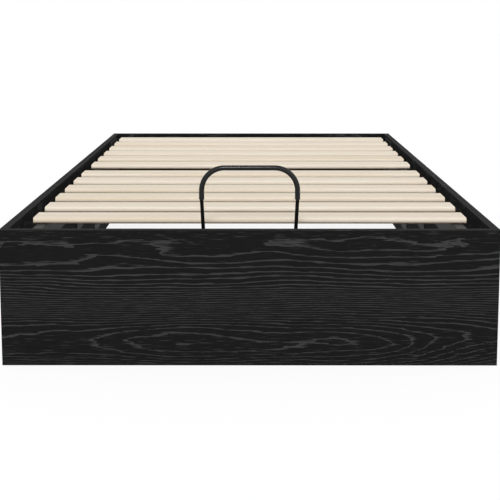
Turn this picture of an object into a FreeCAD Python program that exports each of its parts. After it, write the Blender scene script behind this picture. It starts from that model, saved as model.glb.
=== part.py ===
import FreeCAD, Part
import Sketcher
import math
import os
import re

# Ottoman bed: a board box with a slat frame that lifts on a hinge and two gas struts.
# The bed lies along Y with its foot at -Y, stands on Z = 0 and is centred on X = 0.

# Driving sizes in millimetres
SIZES = {
    # Box of boards
    "bed_width": 935,
    "bed_length": 2035,
    "bed_height": 260,
    "board": 16,
    "edge_round": 1,
    # Gaps between pieces
    "fit_gap": 0.05,
    "run_gap": 0.05,
    "seat_gap": 0.3,
    "tip_gap": 0.5,
    # Slats
    "slat_width": 80,
    "slat_thickness": 12,
    "slat_row_inset": 117,
    "slat_end_gap": 24.5,
    "middle_gap": 125,
    # Tube frame in two halves
    "tube_width": 20,
    "tube_height": 40,
    "tube_wall": 1.5,
    "tube_round": 2,
    "end_clearance": 12,
    "half_gap": 4,
    "cap_thickness": 3,
    "cap_plug": 12,
    "joint_plate_length": 150,
    "joint_plate_height": 30,
    "joint_plate_thickness": 3,
    "joint_bolt_offset": 38,
    "joint_bolt_spacing": 22,
    # Corner brackets
    "bracket_leg": 50,
    "bracket_thickness": 2.5,
    "bracket_foot": 30,
    "bracket_head_gap": 50,
    "bracket_row_inset": 40,
    "bracket_screw_inset": 30,
    # Rests for the closed frame
    "rest_thickness": 2,
    "rest_centre": -17.5,
    "rest_length": 120,
    "rest_flange": 106,
    "rest_reach": 16,
    "rest_screw_spacing": 80,
    "rest_screw_rise": 50,
    "pad_thickness": 3,
    "pad_margin": 1,
    "pad_length": 60,
    "front_rest_spread": 500,
    "front_rest_width": 50,
    "front_rest_drop": 80,
    "front_rest_lip": 4,
    "front_rest_row": 30,
    # Hinge
    "hinge_setback": 101.5,
    "plate_thickness": 3,
    "plate_margin_y": 40,
    "plate_margin_z": 25,
    "plate_corner": 12,
    "plate_screw_inset": 15,
    "arm_thickness": 4,
    "arm_height": 36,
    "arm_margin": 22,
    "arm_corner": 8,
    "boss_radius": 11,
    "boss_length": 14,
    "bush_radius": 7,
    "bush_flange": 2,
    "bush_flange_radius": 10,
    "pivot_radius": 6,
    "pivot_collar_radius": 10,
    "pivot_tail_radius": 4,
    # Gas struts
    "strut_foot": 39.5,
    "strut_radius": 10,
    "strut_wall": 1.5,
    "strut_gap": 2.25,
    "strut_base": 18,
    "strut_base_thickness": 4,
    "strut_neck_radius": 4.5,
    "strut_tube_gap": 45,
    "guide_length": 15,
    "rod_radius": 4,
    "piston_start": 28,
    "piston_thickness": 8,
    "piston_gap": 0.1,
    "rod_end": 1,
    "eye_radius": 8,
    "eye_width": 10,
    "pin_radius": 4,
    "pin_collar_radius": 6,
    "pin_tail_radius": 3,
    "pin_end": 1,
    "clip_radius": 7,
    "clip_thickness": 1.5,
    # Lifting handle
    "handle_foot_spacing": 174.5,
    "handle_grip_spacing": 180.5,
    "handle_height": 116.5,
    "handle_corner_radius": 43,
    "handle_radius": 3.5,
    "handle_tail": 12,
    "handle_crank_gap": 1,
    "grip_radius": 5,
    "grip_leg_length": 17,
    "handle_nut_radius": 6.5,
    "handle_nut_height": 5,
    # Screws and bolts
    "wood_screw_radius": 2,
    "wood_screw_head_radius": 4,
    "wood_screw_head_height": 2,
    "wood_screw_cover": 4.5,
    "slat_screw_radius": 2.2,
    "slat_screw_head_radius": 4.5,
    "slat_screw_head_height": 2.5,
    "slat_screw_bite": 6,
    "bolt_radius": 4,
    "bolt_head_radius": 6.5,
    "bolt_head_height": 5,
    "bolt_nut_radius": 7.5,
    "bolt_nut_height": 6.5,
    "bolt_end": 2,
}

SLATS_PER_HALF = 6
QUARTER_TURN = 90
LEFT, RIGHT = -1, 1
FOOT, HEAD = -1, 1
SIDES = {"left": LEFT, "right": RIGHT}
ENDS = {"front": FOOT, "rear": HEAD}

# Places worked out from the sizes, as formulas of the sheet
INNER_X = "(bed_width / 2 - board)"
INNER_Y = "(bed_length / 2 - board)"
FRAME_END = f"({INNER_Y} - end_clearance)"
PLATE_FACE = f"({INNER_X} - plate_thickness)"
ARM_FACE = f"({PLATE_FACE} - 2 * strut_gap - 2 * strut_radius)"
RAIL_OUT = f"({ARM_FACE} - arm_thickness)"
RAIL_IN = f"({RAIL_OUT} - tube_width)"
RAIL_MID = f"({RAIL_OUT} - tube_width / 2)"
TUBE_TOP = "(bed_height - slat_thickness)"
TUBE_LOW = f"({TUBE_TOP} - tube_height)"
TUBE_MID = f"({TUBE_TOP} - tube_height / 2)"
PAD_TOP = f"({TUBE_LOW} - seat_gap)"
WEB_TOP = f"({PAD_TOP} - pad_thickness)"
PIVOT_Y = f"({INNER_Y} - hinge_setback)"
# Hinge, upper pin and lower pin make an equal-sided triangle while the frame is closed
PIVOT_ARM = f"(({TUBE_MID} - strut_foot) * 2 / sqrt(3))"
UPPER_PIN_Y = f"({PIVOT_Y} - {PIVOT_ARM})"
LOWER_PIN_Y = f"({PIVOT_Y} - {PIVOT_ARM} / 2)"
STRUT_X = f"({ARM_FACE} + strut_gap + strut_radius)"
EYE_NEAR = f"({STRUT_X} - eye_width / 2)"
EYE_FAR = f"({STRUT_X} + eye_width / 2)"
TUBE_END = f"({PIVOT_ARM} - strut_tube_gap)"
HANDLE_Y = f"-({FRAME_END} - tube_width / 2)"
HANDLE_TOP = "(bed_height + handle_height - grip_radius)"
GRIP_BEND = f"({HANDLE_TOP} - handle_corner_radius)"
# Slats share out the length that the middle gap and the insets at the frame's ends leave
SLAT_PITCH = (
    f"(({FRAME_END} - slat_row_inset - middle_gap / 2 - slat_width) / {SLATS_PER_HALF - 1})")
# Long edges of a slat are round noses with a narrow flat left in the middle
SLAT_NOSE = "(0.48 * slat_thickness)"

NO_TURN = FreeCAD.Rotation()
ALONG_Y = FreeCAD.Rotation(FreeCAD.Vector(0, 0, 1), QUARTER_TURN)
AXIS_TURN = {
    "x": FreeCAD.Rotation(FreeCAD.Vector(0, 1, 0), QUARTER_TURN),
    "y": FreeCAD.Rotation(FreeCAD.Vector(1, 0, 0), -QUARTER_TURN),
    "z": NO_TURN,
}
# A closed strut leans 30 degrees from upright towards the foot
STRUT_TURN = FreeCAD.Rotation(FreeCAD.Vector(1, 0, 0), 30)
STRUT_LEAN = "0.5"
STRUT_RISE = "(sqrt(3) / 2)"

doc = FreeCAD.newDocument("OttomanBed")
sheet = doc.addObject("Spreadsheet::Sheet", "Sizes")
nodes = {}


def fill_sheet():
    for row, (alias, value) in enumerate(SIZES.items(), 1):
        sheet.set(f"A{row}", alias)
        sheet.set(f"B{row}", str(value))
        sheet.setAlias(f"B{row}", alias)
    doc.recompute()


def in_cells(formula):
    """Turn the size names in a formula into references to the sheet."""
    return re.sub(r"[a-z_]+", lambda word: f"Sizes.{word[0]}" if word[0] in SIZES else word[0], formula)


def place(item, x, y, z, turn=NO_TURN):
    item.Placement = FreeCAD.Placement(FreeCAD.Vector(), turn)
    for axis, formula in zip("xyz", (x, y, z)):
        item.setExpression(f"Placement.Base.{axis}", in_cells(formula))


def spot(sign, distance):
    return f"({distance})" if sign > 0 else f"(-({distance}))"


def span(sign, near, far):
    """Low and high limit of a stretch that lies near to far on one side of the middle."""
    return (spot(sign, near), spot(sign, far)) if sign > 0 else (spot(sign, far), spot(sign, near))


def about(middle, length):
    return f"({middle} - {length} / 2)", f"({middle} + {length} / 2)"


def run(start, sign, length):
    """Low and high limit of a stretch of some length that begins at start."""
    return (start, f"({start} + {length})") if sign > 0 else (f"({start} - ({length}))", start)


def box(label, x, y, z):
    block = doc.addObject("Part::Box", label)
    for side, (low, high) in zip(("Length", "Width", "Height"), (x, y, z)):
        block.setExpression(side, in_cells(f"{high} - {low}"))
    place(block, x[0], y[0], z[0])
    return block


def rod(label, axis, limits, centre, radius):
    low, high = limits
    item = doc.addObject("Part::Cylinder", label)
    item.setExpression("Radius", in_cells(radius))
    item.setExpression("Height", in_cells(f"{high} - {low}"))
    where = list(centre)
    where.insert("xyz".index(axis), low)
    place(item, *where, AXIS_TURN[axis])
    return item


def fuse(label, items):
    joined = doc.addObject("Part::MultiFuse", label)
    joined.Shapes = items
    joined.Refine = True
    return joined


def group(label, items):
    bunch = doc.addObject("Part::Compound", label)
    bunch.Links = items
    return bunch


def cut(label, base, tools):
    trimmed = doc.addObject("Part::Cut", label)
    trimmed.Base = base
    trimmed.Tool = tools[0] if len(tools) == 1 else group(f"{label}_tools", tools)
    return trimmed


def ring(label, axis, limits, centre, radius, bore):
    outer = rod(f"{label}_outer", axis, limits, centre, radius)
    return cut(label, outer, [rod(f"{label}_bore", axis, limits, centre, bore)])


def node(item):
    nodes[item.Label] = item


def sketch_on(body, label, role):
    sketch = body.newObject("Sketcher::SketchObject", label)
    plane = next(item for item in body.Origin.OriginFeatures if item.Role == role)
    sketch.AttachmentSupport = [(plane, "")]
    sketch.MapMode = "FlatFace"
    return sketch


def dimension(sketch, formula, kind, *places, drawn=1.0):
    """Constrain a sketch, first as it is drawn and then by a size formula."""
    index = sketch.addConstraint(Sketcher.Constraint(kind, *places, drawn))
    sketch.setExpression(f"Constraints[{index}]", in_cells(formula))


def bar(label, length, width, height, rounding):
    """Straight bar along X with its long edges rounded."""
    body = doc.addObject("PartDesign::Body", label)
    section = sketch_on(body, f"{label}_section", "YZ_Plane")
    corners = [FreeCAD.Vector(*point, 0) for point in ((0, 0), (1, 0), (1, 1), (0, 1))]
    for start, end in zip(corners, corners[1:] + corners[:1]):
        section.addGeometry(Part.LineSegment(start, end))
    for line in range(4):
        section.addConstraint(Sketcher.Constraint("Coincident", line, 2, (line + 1) % 4, 1))
        section.addConstraint(Sketcher.Constraint("Vertical" if line % 2 else "Horizontal", line))
    section.addConstraint(Sketcher.Constraint("Coincident", 0, 1, -1, 1))
    dimension(section, width, "DistanceX", 0, 1, 0, 2)
    dimension(section, height, "DistanceY", 1, 1, 1, 2)
    pad = body.newObject("PartDesign::Pad", f"{label}_pad")
    pad.Profile = section
    pad.setExpression("Length", in_cells(length))
    doc.recompute()
    long_edges = [
        f"Edge{number}" for number, edge in enumerate(pad.Shape.Edges, 1)
        if abs(edge.tangentAt(edge.FirstParameter).x) > 0.99]
    rounded = body.newObject("PartDesign::Fillet", f"{label}_rounding")
    rounded.Base = (pad, long_edges)
    rounded.setExpression("Radius", in_cells(rounding))
    return body


def screw(label, axis, seat, sign, reach, centre, size):
    """Screw whose head lies on its seat, and the hole that it needs past the seat."""
    shank = rod(f"{label}_shank", axis, run(seat, sign, reach), centre, f"{size}_radius")
    head_limits = run(seat, -sign, f"{size}_head_height")
    head = rod(f"{label}_head", axis, head_limits, centre, f"{size}_head_radius")
    hole_limits = run(seat, sign, f"({reach} + tip_gap)")
    hole = rod(f"{label}_hole", axis, hole_limits, centre, f"{size}_radius + fit_gap")
    return fuse(label, [shank, head]), hole


def wood_screw(label, axis, plate_face, sign, plate, centre):
    reach = f"({plate} + board - wood_screw_cover)"
    return screw(label, axis, plate_face, sign, reach, centre, "wood_screw")


def hex_nut(label, axis, limits, centre, radius, bore):
    low, high = limits
    outer = doc.addObject("Part::Prism", f"{label}_outer")
    outer.Polygon = 6
    outer.setExpression("Circumradius", in_cells(radius))
    outer.setExpression("Height", in_cells(f"{high} - {low}"))
    where = list(centre)
    where.insert("xyz".index(axis), low)
    place(outer, *where, AXIS_TURN[axis])
    return cut(label, outer, [rod(f"{label}_bore", axis, limits, centre, f"{bore} + fit_gap")])


def strut_rod(label, side, limits, radius):
    """Round piece on a strut's line, with its limits measured from the lower pin."""
    low, high = limits
    item = doc.addObject("Part::Cylinder", label)
    item.setExpression("Radius", in_cells(radius))
    item.setExpression("Height", in_cells(f"{high} - {low}"))
    y = f"{LOWER_PIN_Y} - {STRUT_LEAN} * ({low})"
    z = f"strut_foot + {STRUT_RISE} * ({low})"
    place(item, spot(side, STRUT_X), y, z, STRUT_TURN)
    return item


def slat_y(end, number):
    """Middle of a slat, counted from the middle of the bed."""
    return spot(end, f"middle_gap / 2 + slat_width / 2 + {number} * {SLAT_PITCH}")


def make_corner_brackets():
    """Steel angles in the four corners; returns the screw holes of each board."""
    holes = {"front": [], "rear": [], "left": [], "right": []}
    screws = []
    rows = ("bracket_foot + bracket_row_inset", "bed_height - bracket_head_gap - bracket_row_inset")
    z = ("bracket_foot", "(bed_height - bracket_head_gap)")
    for end_name, end in ENDS.items():
        for side_name, side in SIDES.items():
            label = f"corner_bracket_{end_name}_{side_name}"
            panel_leg = box(
                f"{label}_panel_leg",
                span(side, f"{INNER_X} - bracket_leg", INNER_X),
                span(end, f"{INNER_Y} - bracket_thickness", INNER_Y), z)
            side_leg = box(
                f"{label}_side_leg",
                span(side, f"{INNER_X} - bracket_thickness", INNER_X),
                span(end, f"{INNER_Y} - bracket_leg", INNER_Y), z)
            bracket_holes = []
            for row, height in enumerate(rows):
                panel_screw, panel_hole = wood_screw(
                    f"{label}_panel_screw_{row}", "y", spot(end, f"{INNER_Y} - bracket_thickness"), end,
                    "bracket_thickness", (spot(side, f"{INNER_X} - bracket_screw_inset"), height))
                side_screw, side_hole = wood_screw(
                    f"{label}_side_screw_{row}", "x", spot(side, f"{INNER_X} - bracket_thickness"), side,
                    "bracket_thickness", (spot(end, f"{INNER_Y} - bracket_screw_inset"), height))
                screws += [panel_screw, side_screw]
                bracket_holes += [panel_hole, side_hole]
                holes[end_name].append(panel_hole)
                holes[side_name].append(side_hole)
            node(cut(label, fuse(f"{label}_angle", [panel_leg, side_leg]), bracket_holes))
    node(group("corner_screws", screws))
    return holes


def make_frame_rests(holes):
    """Folded brackets that carry the closed frame at mid length and at the foot, with rubber pads."""
    screws = []
    pads = []
    inner = f"{RAIL_OUT} - rest_reach"
    y = about("rest_centre", "rest_length")
    board_face = f"({INNER_X} - rest_thickness)"
    flange_z = (f"({WEB_TOP} - rest_flange)", WEB_TOP)
    web_z = (f"({WEB_TOP} - rest_thickness)", WEB_TOP)
    for side_name, side in SIDES.items():
        label = f"frame_rest_{side_name}"
        parts = [
            box(f"{label}_back", span(side, board_face, INNER_X), y, flange_z),
            box(f"{label}_web", span(side, inner, INNER_X), y, web_z),
            box(f"{label}_lip", span(side, inner, f"{inner} + rest_thickness"), y, flange_z),
        ]
        rest_holes = []
        for row in (-1, 1):
            for column in (-1, 1):
                centre = (
                    f"rest_centre + {column} * rest_screw_spacing / 2",
                    f"{WEB_TOP} - rest_flange / 2 + {row} * rest_screw_rise / 2")
                item, hole = wood_screw(
                    f"{label}_screw_{row + 1}{column + 1}", "x", spot(side, board_face), side,
                    "rest_thickness", centre)
                screws.append(item)
                rest_holes.append(hole)
        holes[side_name] += rest_holes
        node(cut(label, fuse(f"{label}_channel", parts), rest_holes))
        pads.append(box(
            f"{label}_pad", span(side, f"{inner} + pad_margin", f"{RAIL_OUT} - pad_margin"),
            about("rest_centre", "pad_length"), (WEB_TOP, PAD_TOP)))
    brackets = []
    panel_face = f"({INNER_Y} - rest_thickness)"
    for side_name, side in SIDES.items():
        label = f"front_rest_{side_name}"
        middle = spot(side, "front_rest_spread / 2")
        x = about(middle, "front_rest_width")
        leg_z = (f"({WEB_TOP} - front_rest_drop)", WEB_TOP)
        shelf_y = span(FOOT, f"{FRAME_END} - tube_width - front_rest_lip", INNER_Y)
        parts = [
            box(f"{label}_leg", x, span(FOOT, panel_face, INNER_Y), leg_z),
            box(f"{label}_shelf", x, shelf_y, web_z),
        ]
        bracket_holes = []
        for row in (1, 2):
            centre = (middle, f"{WEB_TOP} - {row} * front_rest_row")
            item, hole = wood_screw(
                f"{label}_screw_{row}", "y", spot(FOOT, panel_face), FOOT, "rest_thickness", centre)
            screws.append(item)
            bracket_holes.append(hole)
        holes["front"] += bracket_holes
        brackets.append(cut(f"{label}_bracket", fuse(f"{label}_angle", parts), bracket_holes))
        pads.append(box(
            f"{label}_pad", about(middle, "(front_rest_width - 2 * pad_margin)"),
            span(FOOT, f"{FRAME_END} - tube_width + pad_margin", f"{FRAME_END} - pad_margin"),
            (WEB_TOP, PAD_TOP)))
    node(group("front_rest_brackets", brackets))
    node(group("rest_pads", pads))
    node(group("rest_screws", screws))


def make_hinge_plates(holes):
    """Plates on the side panels with the fixed hinge pins and the lower strut pins."""
    screws = []
    hinge_pins = []
    strut_pins = []
    low_y = f"({LOWER_PIN_Y} - plate_margin_y)"
    high_y = f"({PIVOT_Y} + plate_margin_y)"
    low_z = "(strut_foot - plate_margin_z)"
    high_z = f"({TUBE_MID} + plate_margin_z)"
    for side_name, side in SIDES.items():
        label = f"hinge_plate_{side_name}"
        blank = bar(
            f"{label}_blank", "plate_thickness", f"{high_y} - {low_y}", f"{high_z} - {low_z}",
            "plate_corner")
        place(blank, span(side, PLATE_FACE, INNER_X)[0], low_y, low_z)
        plate_holes = []
        for row, z in enumerate((f"{low_z} + plate_screw_inset", f"{high_z} - plate_screw_inset")):
            for column, y in enumerate((f"{low_y} + plate_screw_inset", f"{high_y} - plate_screw_inset")):
                item, hole = wood_screw(
                    f"{label}_screw_{row}{column}", "x", spot(side, PLATE_FACE), side,
                    "plate_thickness", (y, z))
                screws.append(item)
                plate_holes.append(hole)
        holes[side_name] += plate_holes
        pivot = (PIVOT_Y, TUBE_MID)
        lower = (LOWER_PIN_Y, "strut_foot")
        tail = span(side, PLATE_FACE, INNER_X)
        tail_holes = [
            rod(f"{label}_pivot_hole", "x", tail, pivot, "pivot_tail_radius + fit_gap"),
            rod(f"{label}_strut_hole", "x", tail, lower, "pin_tail_radius + fit_gap"),
        ]
        node(cut(label, blank, plate_holes + tail_holes))
        collar_near = f"{ARM_FACE} + boss_length + bush_flange + seat_gap"
        pin = f"hinge_pin_{side_name}"
        shank = span(side, f"{RAIL_OUT} + seat_gap", PLATE_FACE)
        hinge_pins.append(fuse(pin, [
            rod(f"{pin}_shank", "x", shank, pivot, "pivot_radius"),
            rod(f"{pin}_collar", "x", span(side, collar_near, PLATE_FACE), pivot, "pivot_collar_radius"),
            rod(f"{pin}_tail", "x", tail, pivot, "pivot_tail_radius"),
        ]))
        clip_far = f"{EYE_NEAR} - seat_gap"
        clip_near = f"{clip_far} - clip_thickness"
        pin = f"strut_lower_pin_{side_name}"
        shank = span(side, f"{clip_near} - pin_end", PLATE_FACE)
        collar = span(side, f"{EYE_FAR} + seat_gap", PLATE_FACE)
        strut_pins.append(fuse(pin, [
            rod(f"{pin}_shank", "x", shank, lower, "pin_radius"),
            rod(f"{pin}_collar", "x", collar, lower, "pin_collar_radius"),
            rod(f"{pin}_tail", "x", tail, lower, "pin_tail_radius"),
        ]))
        strut_pins.append(ring(
            f"strut_lower_clip_{side_name}", "x", span(side, clip_near, clip_far), lower,
            "clip_radius", "pin_radius + fit_gap"))
    node(group("hinge_plate_screws", screws))
    node(group("hinge_pins", hinge_pins))
    node(group("strut_lower_pins", strut_pins))


def make_panels(holes):
    """Four boards: the end panels span the full width and the side panels stand between them."""
    for label, end_name, end in (("front_panel", "front", FOOT), ("back_panel", "rear", HEAD)):
        board = bar(f"{label}_board", "bed_width", "board", "bed_height", "edge_round")
        place(board, "-bed_width / 2", span(end, INNER_Y, "bed_length / 2")[0], "0")
        node(cut(label, board, holes[end_name]))
    for side_name, side in SIDES.items():
        label = f"{side_name}_side_panel"
        board = bar(f"{label}_board", f"2 * {INNER_Y}", "board", "bed_height", "edge_round")
        place(board, span(side, INNER_X, "bed_width / 2")[1], f"-{INNER_Y}", "0", ALONG_Y)
        node(cut(label, board, holes[side_name]))


def make_slats():
    """Slats with their screws from below; returns the screw holes of each rail."""
    screws = []
    rail_holes = {(end, side): [] for end in ENDS.values() for side in SIDES.values()}
    slat_half = f"({INNER_X} - slat_end_gap)"
    for end in ENDS.values():
        for number in range(SLATS_PER_HALF):
            order = SLATS_PER_HALF - number if end == FOOT else SLATS_PER_HALF + number + 1
            label = f"slat_{order:02d}"
            strip = bar(f"{label}_strip", f"2 * {slat_half}", "slat_width", "slat_thickness", SLAT_NOSE)
            place(strip, f"-{slat_half}", f"{slat_y(end, number)} - slat_width / 2", TUBE_TOP)
            slat_holes = []
            for side_name, side in SIDES.items():
                item, hole = screw(
                    f"{label}_screw_{side_name}", "z", TUBE_LOW, 1, "(tube_height + slat_screw_bite)",
                    (spot(side, RAIL_MID), slat_y(end, number)), "slat_screw")
                screws.append(item)
                slat_holes.append(hole)
                rail_holes[end, side].append(hole)
            node(cut(label, strip, slat_holes))
    node(group("slat_screws", screws))
    return rail_holes


def make_joint_plates(rail_holes):
    """Outer plates that bolt the two halves of the tube frame together."""
    bolts = []
    plate_out = f"{RAIL_OUT} + joint_plate_thickness"
    for side_name, side in SIDES.items():
        label = f"joint_plate_{side_name}"
        plate = box(
            f"{label}_blank", span(side, RAIL_OUT, plate_out), about("0", "joint_plate_length"),
            about(TUBE_MID, "joint_plate_height"))
        plate_holes = []
        for end_name, end in ENDS.items():
            distances = ("joint_bolt_offset", "joint_bolt_offset + joint_bolt_spacing")
            for number, distance in enumerate(distances):
                bolt = f"joint_bolt_{side_name}_{end_name}_{number}"
                centre = (spot(end, distance), TUBE_MID)
                reach = "(joint_plate_thickness + tube_width + bolt_nut_height + bolt_end)"
                item, hole = screw(bolt, "x", spot(side, plate_out), -side, reach, centre, "bolt")
                nut = hex_nut(
                    f"{bolt}_nut", "x", span(side, f"{RAIL_IN} - bolt_nut_height", RAIL_IN), centre,
                    "bolt_nut_radius", "bolt_radius")
                bolts += [item, nut]
                plate_holes.append(hole)
                rail_holes[end, side].append(hole)
        node(cut(label, plate, plate_holes))
    node(group("joint_bolts", bolts))


def tube(label, along_y, x, y, holes):
    """Rectangular tube between its limits, open at both ends."""
    z = (TUBE_LOW, TUBE_TOP)
    length = f"{y[1]} - {y[0]}" if along_y else f"{x[1]} - {x[0]}"
    stock = bar(f"{label}_stock", length, "tube_width", "tube_height", "tube_round")
    inside_z = (f"({TUBE_LOW} + tube_wall)", f"({TUBE_TOP} - tube_wall)")
    if along_y:
        place(stock, x[1], y[0], z[0], ALONG_Y)
        hollow = box(f"{label}_hollow", (f"({x[0]} + tube_wall)", f"({x[1]} - tube_wall)"), y, inside_z)
    else:
        place(stock, x[0], y[0], z[0])
        hollow = box(f"{label}_hollow", x, (f"({y[0]} + tube_wall)", f"({y[1]} - tube_wall)"), inside_z)
    node(cut(label, stock, [hollow] + holes))


def make_tube_frame(rail_holes):
    """Two halves of tube, each with two rails and two cross tubes, and caps on the rail ends."""
    caps = []
    cross_x = (f"(-{RAIL_IN})", RAIL_IN)
    leg_holes = [
        rod(f"handle_hole_{side_name}", "z", (TUBE_LOW, TUBE_TOP),
            (spot(side, "handle_foot_spacing / 2"), HANDLE_Y), "handle_radius + fit_gap")
        for side_name, side in SIDES.items()]
    for end_name, end in ENDS.items():
        for side_name, side in SIDES.items():
            rail_x = span(side, RAIL_IN, RAIL_OUT)
            label = f"{end_name}_{side_name}_rail"
            tube(label, True, rail_x, span(end, "half_gap / 2", FRAME_END), rail_holes[end, side])
            plug_x = (f"({rail_x[0]} + tube_wall + fit_gap)", f"({rail_x[1]} - tube_wall - fit_gap)")
            plug_z = (f"({TUBE_LOW} + tube_wall + fit_gap)", f"({TUBE_TOP} - tube_wall - fit_gap)")
            caps.append(fuse(f"{label}_cap", [
                box(f"{label}_cap_face", rail_x, span(end, FRAME_END, f"{FRAME_END} + cap_thickness"),
                    (TUBE_LOW, TUBE_TOP)),
                box(f"{label}_cap_plug", plug_x, span(end, f"{FRAME_END} - cap_plug", FRAME_END), plug_z),
            ]))
        end_holes = leg_holes if end == FOOT else []
        end_y = span(end, f"{FRAME_END} - tube_width", FRAME_END)
        tube(f"{end_name}_cross_tube", False, cross_x, end_y, end_holes)
        middle_y = span(end, "half_gap / 2", "half_gap / 2 + tube_width")
        tube(f"{end_name}_middle_tube", False, cross_x, middle_y, [])
    node(group("tube_end_caps", caps))


def make_hinge_arms():
    """Plates welded to the rear rails, with the hinge bushes and the upper strut pins."""
    bushes = []
    strut_pins = []
    low_y = f"({UPPER_PIN_Y} - arm_margin)"
    high_y = f"({PIVOT_Y} + arm_margin)"
    boss_end = f"{ARM_FACE} + boss_length"
    pivot = (PIVOT_Y, TUBE_MID)
    upper = (UPPER_PIN_Y, TUBE_MID)
    for side_name, side in SIDES.items():
        label = f"hinge_arm_{side_name}"
        blank = bar(f"{label}_blank", "arm_thickness", f"{high_y} - {low_y}", "arm_height", "arm_corner")
        place(blank, span(side, RAIL_OUT, ARM_FACE)[0], low_y, f"{TUBE_MID} - arm_height / 2")
        boss = rod(f"{label}_boss", "x", span(side, ARM_FACE, boss_end), pivot, "boss_radius")
        bore = rod(f"{label}_bore", "x", span(side, RAIL_OUT, boss_end), pivot, "bush_radius + fit_gap")
        tail = span(side, f"{RAIL_OUT} + seat_gap", ARM_FACE)
        tail_hole = rod(
            f"{label}_pin_hole", "x", span(side, RAIL_OUT, ARM_FACE), upper, "pin_tail_radius + fit_gap")
        node(cut(label, fuse(f"{label}_welded", [blank, boss]), [bore, tail_hole]))
        bush = f"hinge_bush_{side_name}"
        bush_near = f"{RAIL_OUT} + seat_gap"
        bush_far = f"{boss_end} + bush_flange"
        sleeve = fuse(f"{bush}_sleeve", [
            rod(f"{bush}_body", "x", span(side, bush_near, boss_end), pivot, "bush_radius"),
            rod(f"{bush}_flange", "x", span(side, boss_end, bush_far), pivot, "bush_flange_radius"),
        ])
        bushes.append(cut(bush, sleeve, [
            rod(f"{bush}_bore", "x", span(side, bush_near, bush_far), pivot, "pivot_radius + run_gap")]))
        clip_near = f"{EYE_FAR} + seat_gap"
        clip_far = f"{clip_near} + clip_thickness"
        pin = f"strut_upper_pin_{side_name}"
        collar = span(side, ARM_FACE, f"{EYE_NEAR} - seat_gap")
        shank = span(side, ARM_FACE, f"{clip_far} + pin_end")
        strut_pins.append(fuse(pin, [
            rod(f"{pin}_tail", "x", tail, upper, "pin_tail_radius"),
            rod(f"{pin}_collar", "x", collar, upper, "pin_collar_radius"),
            rod(f"{pin}_shank", "x", shank, upper, "pin_radius"),
        ]))
        strut_pins.append(ring(
            f"strut_upper_clip_{side_name}", "x", span(side, clip_near, clip_far), upper,
            "clip_radius", "pin_radius + fit_gap"))
    node(group("hinge_bushes", bushes))
    node(group("strut_upper_pins", strut_pins))


def make_struts():
    """Gas struts: a cylinder with a rod guide on the lower pin, and a rod with a piston on the upper pin."""
    bore_radius = "strut_radius - strut_wall"
    base_top = "(strut_base + strut_base_thickness)"
    eye_wall = "((eye_radius + pin_radius) / 2)"
    rod_z = ("(piston_start - rod_end)", f"({PIVOT_ARM} - {eye_wall})")
    for side_name, side in SIDES.items():
        label = f"strut_cylinder_{side_name}"
        eye_x = span(side, EYE_NEAR, EYE_FAR)
        lower = (LOWER_PIN_Y, "strut_foot")
        upper = (UPPER_PIN_Y, TUBE_MID)
        solid = fuse(f"{label}_solid", [
            rod(f"{label}_eye", "x", eye_x, lower, "eye_radius"),
            strut_rod(f"{label}_neck", side, (eye_wall, base_top), "strut_neck_radius"),
            strut_rod(f"{label}_tube", side, ("strut_base", TUBE_END), "strut_radius"),
        ])
        node(cut(label, solid, [
            rod(f"{label}_eye_bore", "x", eye_x, lower, "pin_radius + run_gap"),
            strut_rod(f"{label}_bore", side, (base_top, TUBE_END), bore_radius),
        ]))
        guide_z = (f"({TUBE_END} - guide_length)", TUBE_END)
        guide = f"strut_guide_{side_name}"
        node(cut(guide, strut_rod(f"{guide}_body", side, guide_z, f"{bore_radius} - fit_gap"), [
            strut_rod(f"{guide}_bore", side, guide_z, "rod_radius + run_gap")]))
        label = f"strut_rod_{side_name}"
        solid = fuse(f"{label}_solid", [
            strut_rod(f"{label}_bar", side, rod_z, "rod_radius"),
            rod(f"{label}_eye", "x", eye_x, upper, "eye_radius"),
        ])
        node(cut(label, solid, [rod(f"{label}_eye_bore", "x", eye_x, upper, "pin_radius + run_gap")]))
        piston = f"strut_piston_{side_name}"
        piston_z = ("piston_start", "(piston_start + piston_thickness)")
        node(cut(piston, strut_rod(f"{piston}_body", side, piston_z, f"{bore_radius} - piston_gap"), [
            strut_rod(f"{piston}_bore", side, piston_z, "rod_radius + fit_gap")]))


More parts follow.
